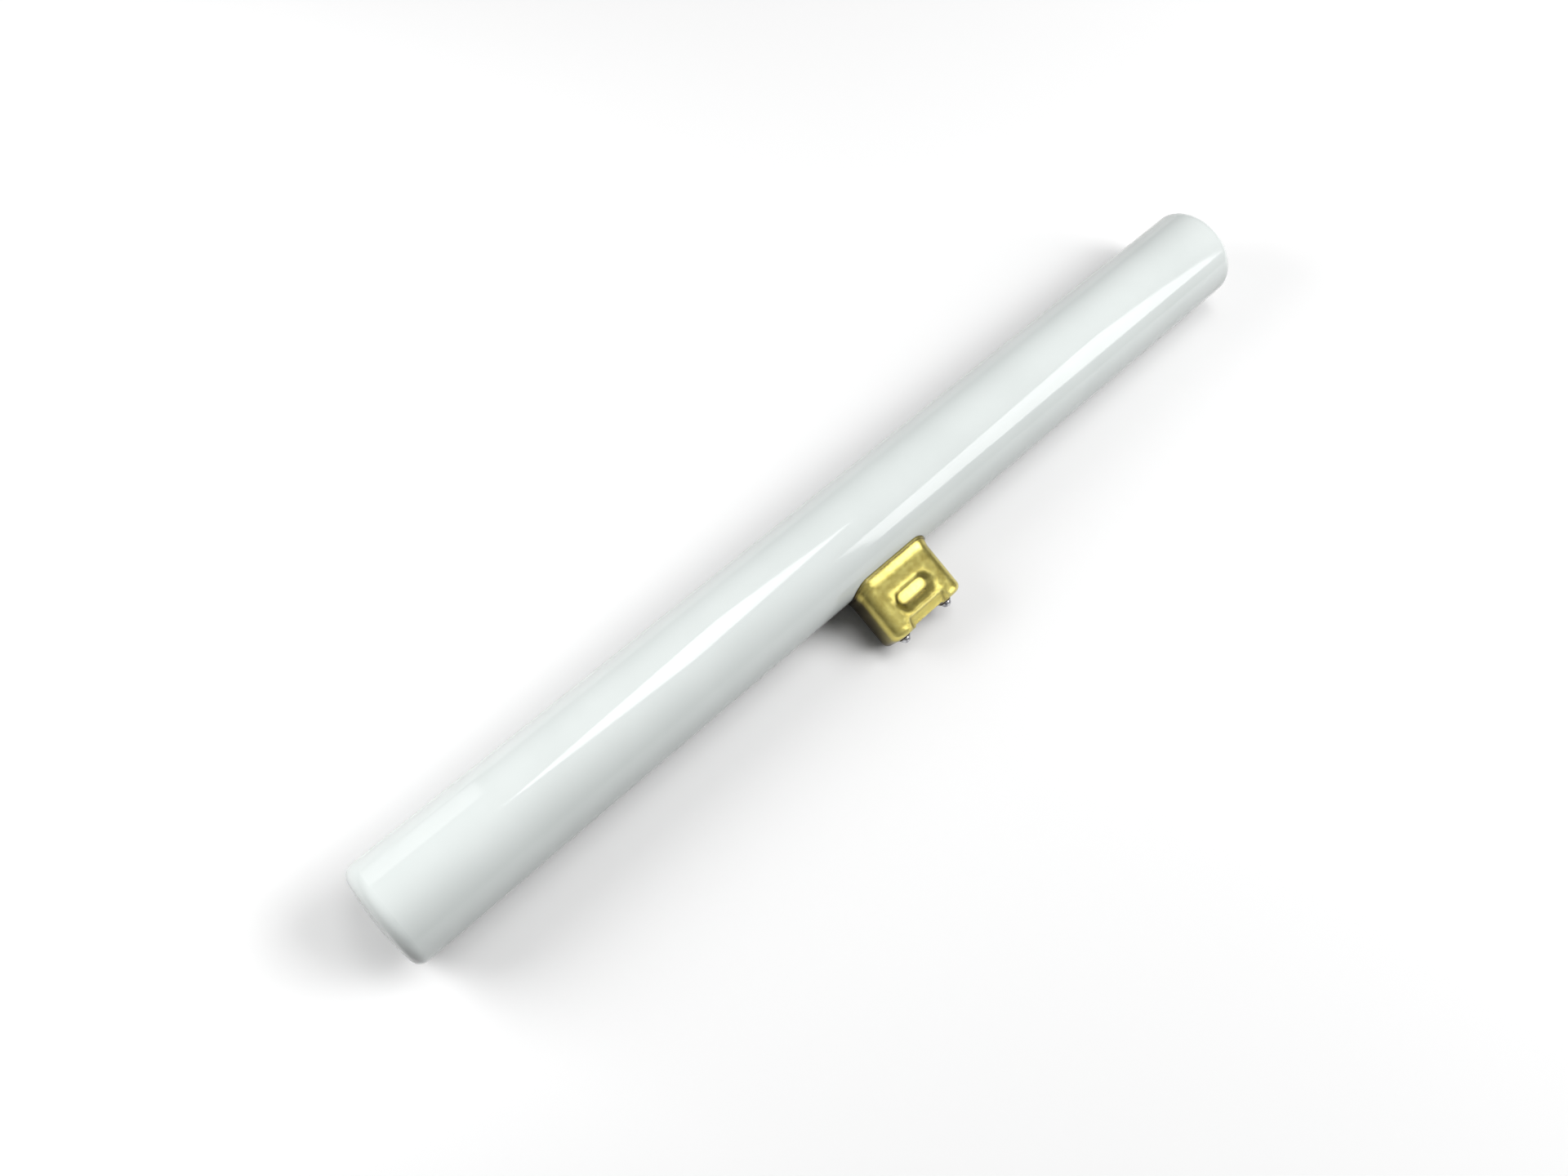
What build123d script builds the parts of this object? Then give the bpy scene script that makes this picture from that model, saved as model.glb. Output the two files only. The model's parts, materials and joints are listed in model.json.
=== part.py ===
from build123d import *
import os
from math import acos, asin, atan2, cos, degrees, hypot, radians, sin, sqrt, tan

# Linear incandescent lamp: an opal glass tube with a pressed brass cap on its side.
# It lies as it comes to rest. X runs along the tube, and the cap points to -Y and leans on Z = 0.
# Sizes are millimetres. A height on the cap is counted from the tube's axis, along the cap's own axis.

# Glass tube
tube_length = 300.0
tube_diameter = 28.0
end_crown_radius = 75.0
end_knuckle_radius = 3.2

# Sealed neck and exhaust tip of the glass, inside the cap
neck_diameter = 9.0
neck_proud = 1.5
tip_diameter = 3.0
tip_height = 2.4
tip_taper = 20.0

# Drawn brass cap
cap_length = 25.0
cap_width = 14.0
cap_reach = 30.0
cap_corner_radius = 4.0
cap_bottom_radius = 1.9
cap_wall = 0.5

# Rim of the cap, turned outward where it sits on the glass
rim_flare = 0.8
rim_thickness = 0.5
rim_slope_out = 0.45
rim_slope_up = 1.8

# Oval pocket pressed into each long side of the cap, where the holder's spring catches
pocket_length = 13.6
pocket_width = 7.2
pocket_depth = 1.4
pocket_flank_angle = 55.0
pocket_floor_tilt = 12.0
pocket_rise = 7.4
pocket_rim_break = 0.3

# Sloping lead-in pressed below each pocket
lead_in_width = 11.8
lead_in_rise = 3.0
lead_in_step = 0.3
lead_in_angle = 37.0
lead_in_flank_angle = 45.0

# Shallow recess across the cap's bottom, between the contacts
recess_width = 10.0
recess_depth = 0.5
recess_flank_angle = 30.0

# Cement that holds the cap on the glass, filled to this depth over the tube
cement_depth = 3.5

# Ceramic insert that carries the contacts
insert_length = 21.0
insert_width = 8.4
insert_thickness = 2.5
contact_spacing = 15.6
boss_diameter = 4.0
boss_proud = 0.3
boss_clearance = 0.05

# Contact eyelets
eyelet_flange_diameter = 3.4
eyelet_flange_thickness = 0.3
eyelet_barrel_diameter = 2.2
eyelet_bore_diameter = 0.9
eyelet_proud = 0.3
eyelet_clearance = 0.05

# Solder domes
solder_diameter = 3.0
solder_height = 1.4

# Lead wires
wire_diameter = 0.6
wire_spacing = 4.4
wire_straight = 2.0

# Tools for cutting reach this far past the faces that they cut
overcut = 1.0

# Edges are found by their place within this distance
tolerance = 0.01

# Resting place: the tube and the cap's lower bottom edge both touch the floor
tube_radius = tube_diameter / 2
edge_reach = cap_reach - cap_bottom_radius
edge_offset = cap_width / 2 - cap_bottom_radius
edge_drop = (tube_radius - cap_bottom_radius) / hypot(edge_reach, edge_offset)
rest_tilt = asin(edge_drop) - atan2(edge_offset, edge_reach)

along = Vector(1, 0, 0)
cap_axis = Vector(0, -cos(rest_tilt), -sin(rest_tilt))
cap_side = Vector(0, -sin(rest_tilt), cos(rest_tilt))

# Heights on the cap
boss_face = cap_reach + boss_proud
solder_base = boss_face + eyelet_flange_thickness
solder_sphere_radius = ((solder_diameter / 2) ** 2 + solder_height ** 2) / (2 * solder_height)
solder_centre = solder_base + solder_height - solder_sphere_radius
insert_floor = cap_reach - cap_wall - recess_depth
insert_top = insert_floor - insert_thickness
eyelet_top = insert_top - eyelet_proud
pocket_reach = cap_reach - pocket_rise
lead_in_reach = cap_reach - lead_in_rise
cement_reach = tube_radius + cement_depth
neck_top = cement_reach + neck_proud
saddle_reach = sqrt(tube_radius ** 2 - (cap_width / 2 + rim_flare) ** 2)
wall_start = saddle_reach - overcut

# The lamp's middle, seen from above, is over the origin
shell_reach = edge_reach * cos(rest_tilt) + edge_offset * sin(rest_tilt) + cap_bottom_radius
dome_reach = solder_centre * cos(rest_tilt) + solder_sphere_radius
lamp_reach = max(shell_reach, dome_reach)
tube_centre = Vector(0, (lamp_reach - tube_radius) / 2, tube_radius)

# Planes of the lamp
tube_plane = Plane(origin=tube_centre, x_dir=along, z_dir=(0, 1, 0))
round_plane = Plane(origin=tube_centre, z_dir=along)
cap_plane = Plane(origin=tube_centre, x_dir=along, z_dir=cap_axis)
middle_plane = Plane(origin=tube_centre, x_dir=along, z_dir=cap_side)
wire_plane = Plane(origin=tube_centre, x_dir=along, z_dir=-cap_side)
lower_side_plane = middle_plane.offset(-cap_width / 2)
pocket_tilt = radians(pocket_floor_tilt)
pocket_floor_plane = Plane(
    origin=tube_centre + cap_axis * pocket_reach - cap_side * (cap_width / 2 - pocket_depth),
    x_dir=along,
    z_dir=cap_side * cos(pocket_tilt) - cap_axis * sin(pocket_tilt),
)
recess_plane = Plane(origin=tube_centre + cap_axis * (cap_reach + overcut), x_dir=along, z_dir=cap_side)

# Slope of the upper lead-in, from its start on the cap's long side
slope = radians(lead_in_angle)
lead_in_normal = cap_side * cos(slope) + cap_axis * sin(slope)
lead_in_slope = cap_axis * cos(slope) - cap_side * sin(slope)
lead_in_origin = tube_centre + cap_axis * lead_in_reach + cap_side * (cap_width / 2 - lead_in_step)


def on_rim(edge):
    """True for an edge where the cap's wall meets the upper face of its rim."""
    place = cap_plane.to_local_coords(edge.position_at(0.5))
    beyond_x = max(abs(place.X) - cap_length / 2 + cap_corner_radius, 0)
    beyond_y = max(abs(place.Y) - cap_width / 2 + cap_corner_radius, 0)
    on_plan = abs(hypot(beyond_x, beyond_y) - cap_corner_radius) < tolerance
    return on_plan and abs(hypot(place.Y, place.Z) - tube_radius - rim_thickness) < tolerance


def on_rim_face(face):
    """True for the upper face of the rim, which runs round the tube."""
    is_round = face.geom_type == GeomType.CYLINDER
    return is_round and abs(face.radius - tube_radius - rim_thickness) < tolerance


def on_pocket_rim(edge):
    """True for an edge where a pocket meets the cap's long side."""
    places = [cap_plane.to_local_coords(edge.position_at(share)) for share in (0, 0.5, 1)]
    on_side = all(abs(abs(place.Y) - cap_width / 2) < tolerance for place in places)
    return on_side and all(abs(place.Z - pocket_reach) < pocket_width / 2 + tolerance for place in places)


def pressed_pockets(outline, grow):
    """The two pockets as solids of this outline, deeper toward the cap's bottom, grown on all faces."""
    margin = grow / cos(radians(pocket_flank_angle))
    deepest = pocket_depth + grow + pocket_width / 2 * tan(pocket_tilt)
    with BuildPart() as pockets:
        with BuildSketch(lower_side_plane):
            with Locations((0, -pocket_reach)):
                outline(pocket_length + 2 * margin, pocket_width + 2 * margin)
        extrude(amount=deepest, taper=pocket_flank_angle)
        split(bisect_by=pocket_floor_plane.offset(grow), keep=Keep.BOTTOM)
        mirror(about=middle_plane)
    return pockets.part


def pressed_lead_ins(grow):
    """The two sloping lead-ins as solids, with flanks that spread outward."""
    outward = 2 * lead_in_step + overcut + lead_in_rise * tan(slope)
    spread = (outward + grow) * tan(radians(lead_in_flank_angle))
    length = lead_in_width + 2 * grow + 2 * spread
    run = lead_in_rise / cos(slope) + 2 * overcut + 2 * spread
    corner = lead_in_origin + lead_in_normal * outward - lead_in_slope * (grow + spread)
    with BuildPart() as lead_ins:
        with Locations(Plane(origin=corner, x_dir=-along, z_dir=lead_in_slope)):
            Wedge(
                length,
                outward + grow,
                run,
                spread,
                spread,
                length - spread,
                run - spread,
                align=(Align.CENTER, Align.MIN, Align.MIN),
            )
        mirror(about=middle_plane)
    return lead_ins.part


def pressed_recess(grow):
    """The recess across the bottom as a solid, from side to side of the cap."""
    height = recess_depth + grow + overcut
    spread = height * tan(radians(recess_flank_angle))
    length = recess_width + 2 * grow + 2 * spread
    with BuildPart() as recess:
        with Locations(recess_plane):
            Wedge(
                length,
                height,
                cap_width,
                spread,
                0,
                length - spread,
                cap_width,
                align=(Align.CENTER, Align.MIN, Align.CENTER),
            )
    return recess.part


os.makedirs("parts", exist_ok=True)

# Glass tube, sealed and filled, with its neck
crown_angle = asin((tube_radius - end_knuckle_radius) / (end_crown_radius - end_knuckle_radius))
knuckle_depth = end_crown_radius - (end_crown_radius - end_knuckle_radius) * cos(crown_angle)
with BuildPart() as glass_tube:
    with BuildSketch(tube_plane):
        with BuildLine():
            crown = CenterArc(
                (end_crown_radius - tube_length / 2, 0), end_crown_radius, 180, -degrees(crown_angle)
            )
            knuckle = CenterArc(
                (knuckle_depth - tube_length / 2, tube_radius - end_knuckle_radius),
                end_knuckle_radius,
                180 - degrees(crown_angle),
                degrees(crown_angle) - 90,
            )
            Line(knuckle @ 1, (0, tube_radius))
            mirror(about=Plane.YZ)
            Line(crown @ 0, (tube_length / 2, 0))
        make_face()
    revolve(axis=Axis(tube_centre, along))
    with BuildSketch(cap_plane):
        Circle(neck_diameter / 2)
    extrude(amount=neck_top)
    with BuildSketch(cap_plane.offset(neck_top)):
        Circle(tip_diameter / 2)
    extrude(amount=tip_height, taper=tip_taper)
glass_tube.part.label = "glass_tube"
export_step(glass_tube.part, "parts/glass_tube.step")

# Brass cap shell, drawn from sheet and pressed
with BuildPart() as rim_foot:
    with BuildSketch(cap_plane.offset(wall_start)):
        RectangleRounded(
            cap_length + 2 * rim_flare, cap_width + 2 * rim_flare, cap_corner_radius + rim_flare
        )
    extrude(amount=tube_radius)
    with BuildSketch(round_plane):
        Circle(tube_radius + rim_thickness)
    extrude(amount=cap_length, both=True, mode=Mode.INTERSECT)

with BuildPart() as cavity:
    with BuildSketch(cap_plane.offset(wall_start)):
        RectangleRounded(
            cap_length - 2 * cap_wall, cap_width - 2 * cap_wall, cap_corner_radius - cap_wall
        )
    extrude(amount=cap_reach - cap_wall - wall_start)
    chamfer(cavity.faces().sort_by(Axis(tube_centre, cap_axis))[-1].edges(), cap_bottom_radius - cap_wall)
    add(pressed_pockets(Rectangle, cap_wall), mode=Mode.SUBTRACT)
    add(pressed_lead_ins(cap_wall), mode=Mode.SUBTRACT)
    add(pressed_recess(cap_wall), mode=Mode.SUBTRACT)

with BuildPart() as cap_shell:
    with BuildSketch(cap_plane.offset(wall_start)):
        RectangleRounded(cap_length, cap_width, cap_corner_radius)
    extrude(amount=cap_reach - wall_start)
    fillet(cap_shell.faces().sort_by(Axis(tube_centre, cap_axis))[-1].edges(), cap_bottom_radius)
    add(rim_foot.part)
    rim_edges = [edge for edge in cap_shell.edges() if on_rim(edge)]
    rim_faces = [face for face in cap_shell.faces() if on_rim_face(face)]
    chamfer(rim_edges, rim_slope_out, rim_slope_up, reference=rim_faces[0])
    add(pressed_pockets(SlotOverall, 0), mode=Mode.SUBTRACT)
    chamfer([edge for edge in cap_shell.edges() if on_pocket_rim(edge)], pocket_rim_break)
    add(pressed_lead_ins(0), mode=Mode.SUBTRACT)
    add(pressed_recess(0), mode=Mode.SUBTRACT)
    add(cavity.part, mode=Mode.SUBTRACT)
    with BuildSketch(round_plane):
        Circle(tube_radius)
    extrude(amount=cap_length, both=True, mode=Mode.SUBTRACT)
    with BuildSketch(cap_plane.offset(cap_reach + overcut)):
        with GridLocations(contact_spacing, 0, 2, 1):
            Circle(boss_diameter / 2 + boss_clearance)
    extrude(amount=-cap_wall - 2 * overcut, mode=Mode.SUBTRACT)
cap_shell.part.label = "cap_shell"
export_step(cap_shell.part, "parts/cap_shell.step")

# Cement in the shell's hollow, round the tube and the neck
with BuildPart() as capping_cement:
    add(cavity.part)
    split(bisect_by=cap_plane.offset(cement_reach), keep=Keep.BOTTOM)
    with BuildSketch(round_plane):
        Circle(tube_radius)
    extrude(amount=cap_length, both=True, mode=Mode.SUBTRACT)
    with BuildSketch(cap_plane):
        Circle(neck_diameter / 2)
    extrude(amount=neck_top, mode=Mode.SUBTRACT)
capping_cement.part.label = "capping_cement"
export_step(capping_cement.part, "parts/capping_cement.step")

# Ceramic insert: a plate that lies on the recess, with a boss through the shell at each contact
with BuildPart() as cap_insulator:
    with BuildSketch(cap_plane.offset(insert_top)):
        Rectangle(insert_length, insert_width)
    extrude(amount=insert_thickness)
    with BuildSketch(cap_plane.offset(insert_floor)):
        with GridLocations(contact_spacing, 0, 2, 1):
            Circle(boss_diameter / 2)
    extrude(amount=boss_face - insert_floor)
    with BuildSketch(cap_plane.offset(insert_top)):
        with GridLocations(contact_spacing, 0, 2, 1):
            Circle(eyelet_barrel_diameter / 2 + eyelet_clearance)
    extrude(amount=boss_face - insert_top, mode=Mode.SUBTRACT)
cap_insulator.part.label = "cap_insulator"
export_step(cap_insulator.part, "parts/cap_insulator.step")

# Contacts: an eyelet, its solder dome and its lead wire on each side
for side, sign in (("left", -1), ("right", 1)):
    contact_x = sign * contact_spacing / 2
    contact_centre = tube_centre + along * contact_x
    contact_axis = Axis(contact_centre, cap_axis)
    contact_plane = Plane(origin=contact_centre, x_dir=along, z_dir=-cap_side)

    with BuildPart() as contact:
        with BuildSketch(contact_plane):
            with BuildLine():
                Polyline(
                    (eyelet_bore_diameter / 2, eyelet_top),
                    (eyelet_barrel_diameter / 2, eyelet_top),
                    (eyelet_barrel_diameter / 2, boss_face),
                    (eyelet_flange_diameter / 2, boss_face),
                    (eyelet_flange_diameter / 2, solder_base),
                    (eyelet_bore_diameter / 2, solder_base),
                    close=True,
                )
            make_face()
        revolve(axis=contact_axis)
    contact.part.label = f"{side}_contact"
    export_step(contact.part, f"parts/{side}_contact.step")

    with BuildPart() as solder:
        with BuildSketch(contact_plane):
            with BuildLine():
                base = Line((0, solder_base), (solder_diameter / 2, solder_base))
                dome_angle = degrees(acos((solder_sphere_radius - solder_height) / solder_sphere_radius))
                dome = CenterArc((0, solder_centre), solder_sphere_radius, 90 - dome_angle, dome_angle)
                Line(dome @ 1, base @ 0)
            make_face()
        revolve(axis=contact_axis)
    solder.part.label = f"{side}_solder"
    export_step(solder.part, f"parts/{side}_solder.step")

    wire_x = sign * wire_spacing / 2
    with BuildPart() as lead_wire:
        with BuildLine(wire_plane):
            Polyline(
                (wire_x, neck_top),
                (wire_x, neck_top + wire_straight),
                (contact_x, eyelet_top - wire_straight),
                (contact_x, solder_base),
            )
        with BuildSketch(cap_plane.offset(neck_top)):
            with Locations((wire_x, 0)):
                Circle(wire_diameter / 2)
        sweep(transition=Transition.RIGHT)
    lead_wire.part.label = f"{side}_lead_wire"
    export_step(lead_wire.part, f"parts/{side}_lead_wire.step")
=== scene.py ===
import json
from math import pi, radians

import bpy
from mathutils import Matrix, Quaternion, Vector


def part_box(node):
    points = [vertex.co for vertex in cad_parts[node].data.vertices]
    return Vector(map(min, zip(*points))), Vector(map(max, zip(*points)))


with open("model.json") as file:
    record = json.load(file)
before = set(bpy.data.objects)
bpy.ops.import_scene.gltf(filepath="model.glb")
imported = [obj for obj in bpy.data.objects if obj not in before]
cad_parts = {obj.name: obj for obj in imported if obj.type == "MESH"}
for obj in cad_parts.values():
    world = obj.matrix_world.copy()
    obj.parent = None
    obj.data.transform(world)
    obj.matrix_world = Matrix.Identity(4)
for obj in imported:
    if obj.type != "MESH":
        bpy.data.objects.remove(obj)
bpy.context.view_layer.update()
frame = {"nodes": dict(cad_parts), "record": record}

# Places of the lamp, from the frame, in metres
tube_low, tube_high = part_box("glass_tube")
tube_radius = (tube_high.z - tube_low.z) / 2
tube_centre = Vector(((tube_low.x + tube_high.x) / 2, tube_high.y - tube_radius, tube_radius))
cap_mount = next(mount for mount in frame["record"]["mounts"] if mount["name"] == "plug_in_cap")
along = Vector((1, 0, 0))
cap_axis = Vector(cap_mount["axis"])
cap_side = cap_axis.cross(along)

# Crowned ends: their radius, and how squarely they face outward where the crown's normal fades in
crown_radius = 0.075
crown_start = 0.9956
crown_full = 0.9986
crown_centre = tube_high.x - crown_radius

# Camera, placed on the lamp: along the tube, away from the cap and out of the cap's upper side
camera_place = (-0.14194, -0.00014, 0.34333)
camera_aim = (0.00926, 0.00973, 0.0)
camera_roll = 14.98
camera_lens = 31.826
camera_sensor = 36.0
camera_shift = (-0.04484, -0.06671)
camera_near = 0.01

# Flat lights: the middle, from the tube's middle, and the two half edges
middle_light = ((0.27, 0.074, 1.167), (0.157, -0.178, 0.191), (0.151, 0.183, 0.046))
front_light = ((0.82, -1.022, 0.918), (0.003, -0.167, -0.346), (0.097, 0.374, -0.18))
end_light = ((-0.133, 0.093, 0.045), (0.025, 0.0, 0.0), (0.0, 0.015, -0.034))
key_light = ((0.5, -0.3, 0.7), (0.203, 0.0, -0.145), (0.048, 0.236, 0.067))
back_light = ((-0.28, 0.24, 0.2), (0.07, 0.0, 0.098), (0.056, 0.098, -0.04))
middle_radiance = 4.8
front_radiance = 4.6
end_radiance = 1.5
key_radiance = 5.8
back_radiance = 5.9

# Surround: how much light it gives, how bright it looks at the horizon and overhead, and how it rises
surround_light = 0.09
horizon_look = 0.2
zenith_look = 0.7
look_power = 2.0

# Floor: as the camera and the reflections see it, and as it lights the lamp from below
floor_size = 12.0
floor_white = 0.96
floor_bounce = 0.15

# Most of a noise lies between these two
noise_low = 0.3
noise_high = 0.7

# Brass: tones of its cloudy patches, of its rubbed edges that also carry a painted highlight, of its
# tarnish with painted shade in corners, and of the painted shade where other things are near
white = (1, 1, 1)
black = (0, 0, 0)
patch_tone = (0.84, 0.81, 0.72)
rubbed_and_highlight_tone = (1, 1, 0.55)
tarnish_and_shade_tone = (0.36, 0.23, 0.1)
painted_shade_tone = (0.12, 0.1, 0.08)

# Brass: how far these reach, in metres, and how strong they are
rubbed_and_highlight_reach = 0.0011
rubbed_and_highlight_share = 0.7
tarnish_and_shade_reach = 0.0022
tarnish_and_shade_share = 0.9
painted_shade_reach = 0.02
edge_round = 0.0018

# Grey metal: the scale of its uneven skin, as a share of the scale of its clouds
skin_share = 0.7


def on_lamp(place):
    """The point at this place along the tube, away from the cap and out of the cap's upper side."""
    x, back, out = place
    return tube_centre + along * x - cap_axis * back + cap_side * out


def add(tree, kind, **values):
    """A new node of this kind, with its inputs set by name."""
    made = tree.nodes.new(kind)
    for name, value in values.items():
        made.inputs[name.replace("_", " ")].default_value = value
    return made


def calculate(tree, kind, first, second=0.0):
    """The result of this sum on two sockets or numbers."""
    made = tree.nodes.new("ShaderNodeMath")
    made.operation = kind
    for socket, value in zip(made.inputs, (first, second)):
        if isinstance(value, float):
            socket.default_value = value
        else:
            tree.links.new(value, socket)
    return made.outputs["Value"]


def vectors(tree, kind, *sources):
    """The outputs of this sum on vectors."""
    made = tree.nodes.new("ShaderNodeVectorMath")
    made.operation = kind
    for socket, source in zip(made.inputs, sources):
        tree.links.new(source, socket)
    return made.outputs


def split(tree, vector):
    """The three numbers of a vector, by name."""
    made = add(tree, "ShaderNodeSeparateXYZ")
    tree.links.new(vector, made.inputs["Vector"])
    return made.outputs


def own_normal(tree):
    """The normal of the mesh."""
    return add(tree, "ShaderNodeNewGeometry").outputs["Normal"]


def noise(tree, scale, detail):
    """Cloudy noise in metres on the lamp, from 0 to 1."""
    place = add(tree, "ShaderNodeTexCoord")
    cloud = add(tree, "ShaderNodeTexNoise", Scale=scale, Detail=detail)
    tree.links.new(place.outputs["Object"], cloud.inputs["Vector"])
    return cloud.outputs["Fac"]


def ramp(tree, factor, low, high, start=0.35, end=0.65):
    """A colour between these two, as the factor goes from start to end."""
    made = add(tree, "ShaderNodeValToRGB")
    for stop, place, colour in zip(made.color_ramp.elements, (start, end), (low, high)):
        stop.position = place
        stop.color = (*colour, 1)
    tree.links.new(factor, made.inputs["Fac"])
    return made.outputs["Color"]


def spread(tree, factor, low, high, start=noise_low, end=noise_high):
    """A number between these two, as the factor goes from start to end."""
    made = add(tree, "ShaderNodeMapRange", From_Min=start, From_Max=end, To_Min=low, To_Max=high)
    tree.links.new(factor, made.inputs["Value"])
    return made.outputs["Result"]


def blend(tree, kind, first, second, factor):
    """Two colours or normals blended in this way. The factor is a number or a socket."""
    made = tree.nodes.new("ShaderNodeMixRGB")
    made.blend_type = kind
    tree.links.new(first, made.inputs["Color1"])
    tree.links.new(second, made.inputs["Color2"])
    if isinstance(factor, float):
        made.inputs["Fac"].default_value = factor
    else:
        tree.links.new(factor, made.inputs["Fac"])
    return made.outputs["Color"]


def bump(tree, height, strength, depth, normal=None):
    """A surface normal that follows this height, over another normal where there is one."""
    made = add(tree, "ShaderNodeBump", Strength=strength, Distance=depth)
    tree.links.new(height, made.inputs["Height"])
    if normal is not None:
        tree.links.new(normal, made.inputs["Normal"])
    return made.outputs["Normal"]


def surface(name, **constants):
    """A new material with these constants on its shader. Returns it, its tree and the shader's inputs."""
    material = bpy.data.materials.new(name)
    material.use_nodes = True
    inputs = material.node_tree.nodes["Principled BSDF"].inputs
    for socket, value in constants.items():
        inputs[socket.replace("_", " ")].default_value = value
    return material, material.node_tree, inputs


def crowned_ends(tree):
    """The tube's own normal, and in the middle of each end the normal of its crown."""
    place = add(tree, "ShaderNodeTexCoord").outputs["Object"]
    side = calculate(tree, "SIGN", split(tree, place)["X"])
    centre = add(tree, "ShaderNodeCombineXYZ", Y=tube_centre.y, Z=tube_centre.z)
    tree.links.new(calculate(tree, "MULTIPLY", side, crown_centre), centre.inputs["X"])
    outward = vectors(tree, "SUBTRACT", place, centre.outputs["Vector"])["Vector"]
    crown = vectors(tree, "NORMALIZE", outward)["Vector"]
    facing = calculate(tree, "ABSOLUTE", split(tree, crown)["X"])
    middle = spread(tree, facing, low=0.0, high=1.0, start=crown_start, end=crown_full)
    return blend(tree, "MIX", own_normal(tree), crown, middle)


def opal_glass():
    """White opal glass: faint clouds, a bright smooth skin and the slight waves of a drawn tube."""
    material, tree, inputs = surface("opal_glass", IOR=1.5)
    clouds = noise(tree, scale=45, detail=3)
    colour = ramp(tree, clouds, low=(0.745, 0.79, 0.775), high=(0.775, 0.82, 0.805))
    tree.links.new(colour, inputs["Base Color"])
    rough = spread(tree, noise(tree, scale=700, detail=4), low=0.05, high=0.09)
    tree.links.new(rough, inputs["Roughness"])
    swell = noise(tree, scale=90, detail=1)
    waves = bump(tree, swell, strength=0.05, depth=0.0003, normal=crowned_ends(tree))
    tree.links.new(waves, inputs["Normal"])
    return material


def brass(name, dark, light, rough_low, rough_high):
    """Drawn brass sheet: fine speckle, soft clouds, pale rubbed edges with a painted highlight, brown
    tarnish with painted shade in corners, and painted shade near the floor and other parts.
    """
    material, tree, inputs = surface(name, Metallic=1.0)
    speckle = noise(tree, scale=3400, detail=3)
    clouds = noise(tree, scale=420, detail=3)
    grain = ramp(tree, speckle, dark, light, start=noise_low, end=noise_high)
    patches = ramp(tree, clouds, patch_tone, white)
    colour = blend(tree, "MULTIPLY", grain, patches, factor=1.0)

    # Pale edges: partly wear, partly a painted highlight that makes the edge highlights cream
    rounded = add(tree, "ShaderNodeBevel", Radius=rubbed_and_highlight_reach).outputs["Normal"]
    turned = vectors(tree, "DISTANCE", rounded, own_normal(tree))["Value"]
    rubbed_and_highlight = ramp(tree, turned, black, rubbed_and_highlight_tone, start=0.25, end=0.8)
    colour = blend(tree, "LIGHTEN", colour, rubbed_and_highlight, factor=rubbed_and_highlight_share)

    # Brown in corners and recesses: partly tarnish, partly painted shade that darkens the pressed pocket
    corners = add(tree, "ShaderNodeAmbientOcclusion", Distance=tarnish_and_shade_reach).outputs["AO"]
    tarnish_and_shade = ramp(tree, corners, tarnish_and_shade_tone, white, start=0.55, end=0.97)
    colour = blend(tree, "MULTIPLY", colour, tarnish_and_shade, factor=tarnish_and_shade_share)

    # Painted shade: darkens the brass near the floor, the tube and its own walls, within about 2 cm
    nooks = add(tree, "ShaderNodeAmbientOcclusion", Distance=painted_shade_reach).outputs["AO"]
    painted_shade = ramp(tree, nooks, painted_shade_tone, white, start=0.6, end=0.98)
    colour = blend(tree, "MULTIPLY", colour, painted_shade, factor=1.0)
    tree.links.new(colour, inputs["Base Color"])
    tree.links.new(spread(tree, clouds, rough_low, rough_high), inputs["Roughness"])

    edges = add(tree, "ShaderNodeBevel", Radius=edge_round).outputs["Normal"]
    fine = bump(tree, speckle, strength=0.25, depth=0.00003, normal=edges)
    dents = noise(tree, scale=600, detail=2)
    tree.links.new(bump(tree, dents, strength=0.1, depth=0.00012, normal=fine), inputs["Normal"])
    return material


def ceramic():
    """Pale pressed ceramic with small pores."""
    material, tree, inputs = surface("insulator_ceramic", IOR=1.5)
    clouds = noise(tree, scale=1800, detail=4)
    colour = ramp(tree, clouds, low=(0.62, 0.58, 0.5), high=(0.76, 0.73, 0.66))
    tree.links.new(colour, inputs["Base Color"])
    rough = spread(tree, noise(tree, scale=2600, detail=3), low=0.55, high=0.75)
    tree.links.new(rough, inputs["Roughness"])
    pores = noise(tree, scale=3200, detail=4)
    tree.links.new(bump(tree, pores, strength=0.25, depth=0.00005), inputs["Normal"])
    return material


def cement():
    """Baked capping cement, sandy and dull."""
    material, tree, inputs = surface("capping_cement", IOR=1.45)
    clouds = noise(tree, scale=2200, detail=6)
    colour = ramp(tree, clouds, low=(0.42, 0.37, 0.29), high=(0.64, 0.59, 0.5))
    tree.links.new(colour, inputs["Base Color"])
    rough = spread(tree, noise(tree, scale=3000, detail=3), low=0.8, high=0.95)
    tree.links.new(rough, inputs["Roughness"])
    sand = noise(tree, scale=2400, detail=6)
    tree.links.new(bump(tree, sand, strength=0.5, depth=0.0001), inputs["Normal"])
    return material


def grey_metal(name, dark, light, rough_low, rough_high, grain):
    """Dull grey metal with soft clouds and a slightly uneven skin."""
    material, tree, inputs = surface(name, Metallic=1.0)
    clouds = noise(tree, scale=grain, detail=3)
    tree.links.new(ramp(tree, clouds, dark, light), inputs["Base Color"])
    tree.links.new(spread(tree, clouds, rough_low, rough_high), inputs["Roughness"])
    skin = noise(tree, scale=grain * skin_share, detail=2)
    tree.links.new(bump(tree, skin, strength=0.35, depth=0.0001), inputs["Normal"])
    return material


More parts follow.
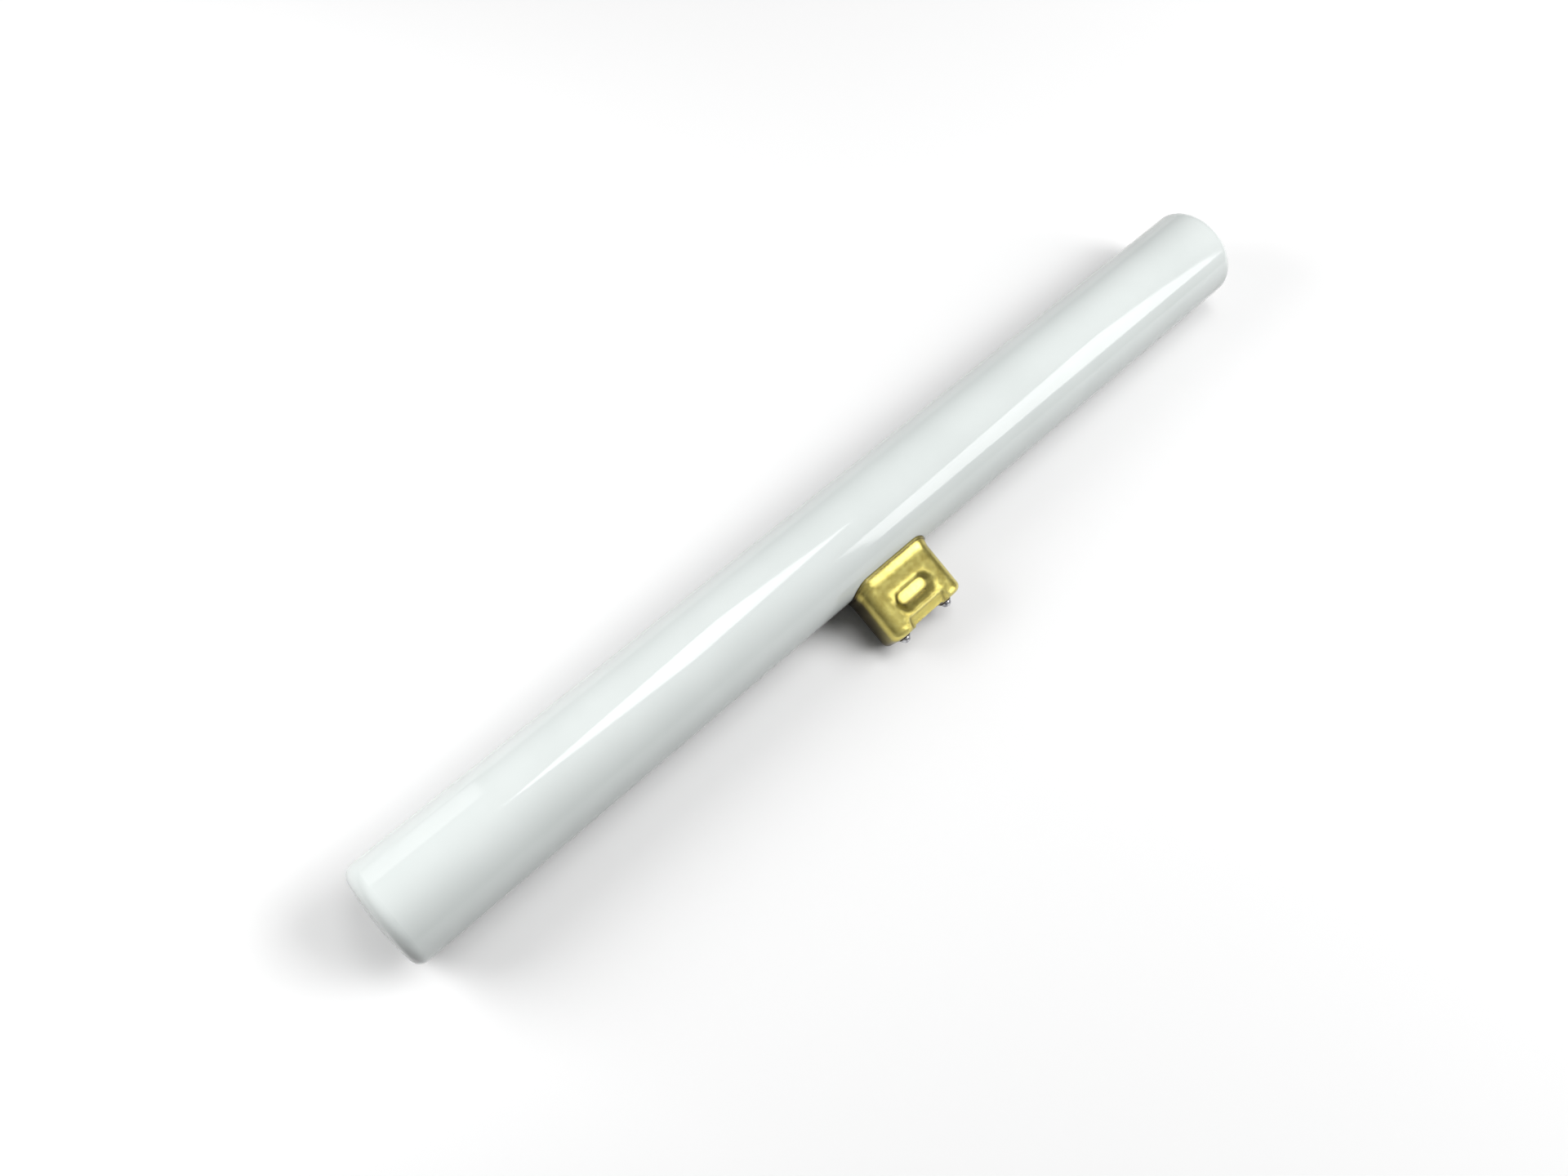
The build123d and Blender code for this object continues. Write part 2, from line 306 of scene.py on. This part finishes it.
def dress():
    """Gives each node of the lamp its material."""
    cap_brass = brass(
        "cap_brass",
        dark=(0.78, 0.67, 0.185),
        light=(0.91, 0.81, 0.28),
        rough_low=0.15,
        rough_high=0.26,
    )
    contact_brass = brass(
        "contact_brass",
        dark=(0.66, 0.54, 0.2),
        light=(0.84, 0.72, 0.36),
        rough_low=0.28,
        rough_high=0.42,
    )
    solder = grey_metal(
        "solder",
        dark=(0.2, 0.2, 0.22),
        light=(0.72, 0.72, 0.74),
        rough_low=0.15,
        rough_high=0.35,
        grain=1400,
    )
    lead_wire = grey_metal(
        "lead_wire",
        dark=(0.5, 0.48, 0.45),
        light=(0.62, 0.6, 0.57),
        rough_low=0.3,
        rough_high=0.45,
        grain=2500,
    )
    finishes = {
        "glass_tube": opal_glass(),
        "cap_shell": cap_brass,
        "capping_cement": cement(),
        "cap_insulator": ceramic(),
        "left_contact": contact_brass,
        "right_contact": contact_brass,
        "left_solder": solder,
        "right_solder": solder,
        "left_lead_wire": lead_wire,
        "right_lead_wire": lead_wire,
    }
    for node, material in finishes.items():
        slots = frame["nodes"][node].data.materials
        slots.clear()
        slots.append(material)


def seen_directly(tree):
    """One for a ray from the camera, off a gloss or through glass, and nought for a ray of plain light."""
    path = add(tree, "ShaderNodeLightPath")
    seen = calculate(tree, "MAXIMUM", path.outputs["Is Camera Ray"], path.outputs["Is Glossy Ray"])
    return calculate(tree, "MAXIMUM", seen, path.outputs["Is Transmission Ray"])


def floor():
    """A plain pale floor. It looks white in the picture and in reflections, and lights the lamp less."""
    bpy.ops.mesh.primitive_plane_add(size=floor_size)
    ground = bpy.context.object
    ground.name = "floor"
    material, tree, inputs = surface("pale_floor", Roughness=1.0, Specular_IOR_Level=0.0)
    colour = ramp(tree, seen_directly(tree), (floor_bounce,) * 3, (floor_white,) * 3, start=0.0, end=1.0)
    tree.links.new(colour, inputs["Base Color"])
    ground.data.materials.append(material)


def surround():
    """The room: a little light from all round. Seen directly, it is dim low down and bright overhead."""
    world = bpy.data.worlds.new("studio")
    bpy.context.scene.world = world
    world.use_nodes = True
    tree = world.node_tree
    direction = add(tree, "ShaderNodeTexCoord").outputs["Generated"]
    height = calculate(tree, "MAXIMUM", split(tree, direction)["Z"], 0.0)
    rise = calculate(tree, "POWER", height, look_power)
    gain = calculate(tree, "MULTIPLY", rise, zenith_look - horizon_look)
    look = calculate(tree, "ADD", gain, horizon_look)
    seen = seen_directly(tree)
    plain = calculate(tree, "MULTIPLY", calculate(tree, "SUBTRACT", 1.0, seen), surround_light)
    total = calculate(tree, "ADD", calculate(tree, "MULTIPLY", look, seen), plain)
    background = tree.nodes["Background"]
    background.inputs["Color"].default_value = (*white, 1)
    tree.links.new(total, background.inputs["Strength"])


def flat_light(name, place, radiance, mirrored=True, shading=True):
    """A flat light that faces the lamp. It may give only shading, or only its reflection."""
    middle, first, second = (Vector(part) for part in place)
    lamp = bpy.data.lights.new(name, "AREA")
    lamp.shape = "RECTANGLE"
    lamp.size = 2 * first.length
    lamp.size_y = 2 * second.length
    lamp.energy = radiance * pi * lamp.size * lamp.size_y
    light = bpy.data.objects.new(name, lamp)
    light.location = tube_centre + middle
    sides = (first.normalized(), second.normalized(), first.cross(second).normalized())
    light.rotation_mode = "QUATERNION"
    light.rotation_quaternion = Matrix(sides).transposed().to_quaternion()
    light.visible_camera = False
    light.visible_glossy = mirrored
    light.visible_diffuse = shading
    bpy.context.scene.collection.objects.link(light)


def lights():
    """The three lights whose reflections lie on the tube, and two broad ones that only shade it."""
    flat_light("middle_light", middle_light, middle_radiance)
    flat_light("front_light", front_light, front_radiance)
    flat_light("end_light", end_light, end_radiance, shading=False)
    flat_light("key_light", key_light, key_radiance, mirrored=False)
    flat_light("back_light", back_light, back_radiance, mirrored=False)


def camera():
    """The camera of the photograph."""
    lens = bpy.data.cameras.new("camera")
    lens.lens = camera_lens
    lens.sensor_width = camera_sensor
    lens.sensor_fit = "HORIZONTAL"
    lens.shift_x, lens.shift_y = camera_shift
    lens.clip_start = camera_near
    viewer = bpy.data.objects.new("camera", lens)
    viewer.location = on_lamp(camera_place)
    sight = on_lamp(camera_aim) - viewer.location
    turn = sight.to_track_quat("-Z", "Y") @ Quaternion((0, 0, 1), radians(camera_roll))
    viewer.rotation_mode = "QUATERNION"
    viewer.rotation_quaternion = turn
    bpy.context.scene.collection.objects.link(viewer)
    bpy.context.scene.camera = viewer


dress()
floor()
surround()
lights()
camera()
bpy.context.scene.view_settings.view_transform = "Standard"
